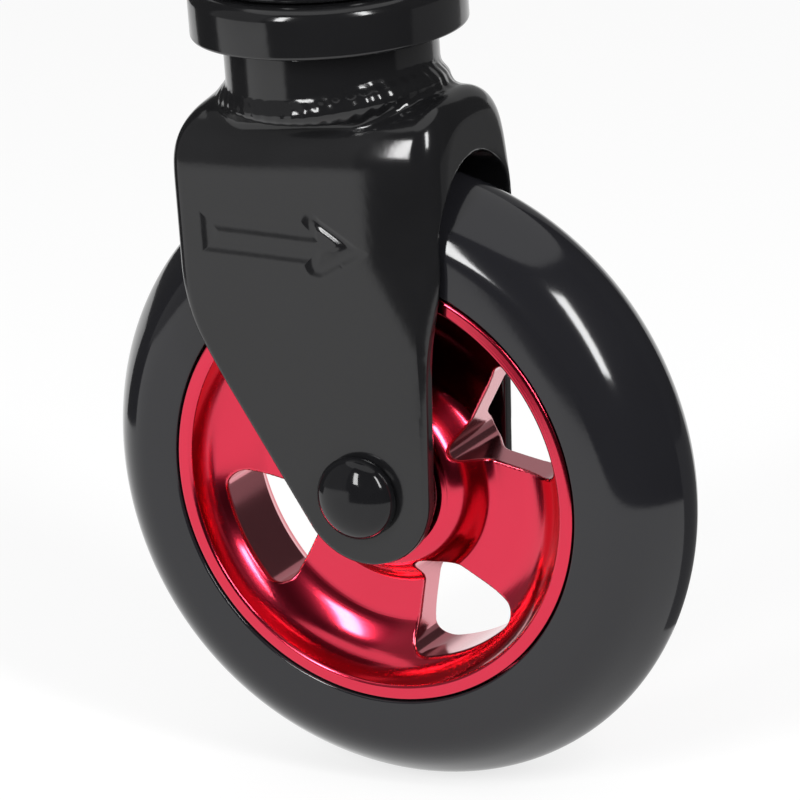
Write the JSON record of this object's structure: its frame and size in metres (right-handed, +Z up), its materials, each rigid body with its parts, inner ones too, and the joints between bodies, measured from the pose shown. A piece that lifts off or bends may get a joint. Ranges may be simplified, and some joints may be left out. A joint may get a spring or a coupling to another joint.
{
  "type": "stunt scooter front end",
  "caption": "Stunt scooter front end: head tube with threaded headset, flat-legged fork on a neck, and a spoked-core wheel on ball bearings.",
  "frame": {"origin": "on the ground under the wheel's axle, in the middle of the tyre's width", "axes": "+X forwards, the way the wheel leads, +Y to the rider's left, +Z up along the steering axis"},
  "size_m": [0.11, 0.047, 0.2973],
  "materials": {
    "black_coat": "gloss black powder coat",
    "black_steel": "blackened steel, semi-gloss",
    "bright_steel": "ground and polished steel",
    "axle_black": "polished black",
    "red_core": "bright red anodised, machined",
    "tyre": "glossy black urethane"
  },
  "bodies": {
    "head": {"head_tube": "black_coat", "lower_cup": "black_coat", "upper_cup": "black_coat"},
    "fork": {"fork_yoke": "black_coat", "crown_neck": "black_coat", "neck_weld": "black_coat", "steerer_tube": "black_coat", "crown_race": "black_steel", "lower_ball_retainer": "bright_steel", "upper_ball_retainer": "bright_steel", "adjusting_cone": "black_steel", "lock_washer": "bright_steel", "lock_nut": "black_steel", "axle_sleeve": "axle_black", "axle_screw": "axle_black", "axle_washer": "axle_black", "axle_spacer_left": "bright_steel", "axle_spacer_right": "bright_steel", "bearing_spacer": "bright_steel", "bearing_inner_ring_left": "bright_steel", "bearing_inner_ring_right": "bright_steel"},
    "wheel": {"tyre": "tyre", "wheel_core": "red_core", "bearing_outer_ring_left": "bright_steel", "bearing_outer_ring_right": "bright_steel", "ball_cage_left": "bright_steel", "ball_cage_right": "bright_steel", "bearing_shield_left_outer": "bright_steel", "bearing_shield_left_inner": "bright_steel", "bearing_shield_right_outer": "bright_steel", "bearing_shield_right_inner": "bright_steel"}
  },
  "joints": [
    {"name": "steering", "type": "hinge", "parent": "head", "child": "fork", "pos_m": [-0.008, 0, 0.1215], "axis": [0, 0, 1], "continuous": true},
    {"name": "wheel_spin", "type": "hinge", "parent": "fork", "child": "wheel", "pos_m": [0, 0, 0.055], "axis": [0, 1, 0], "continuous": true}
  ]
}
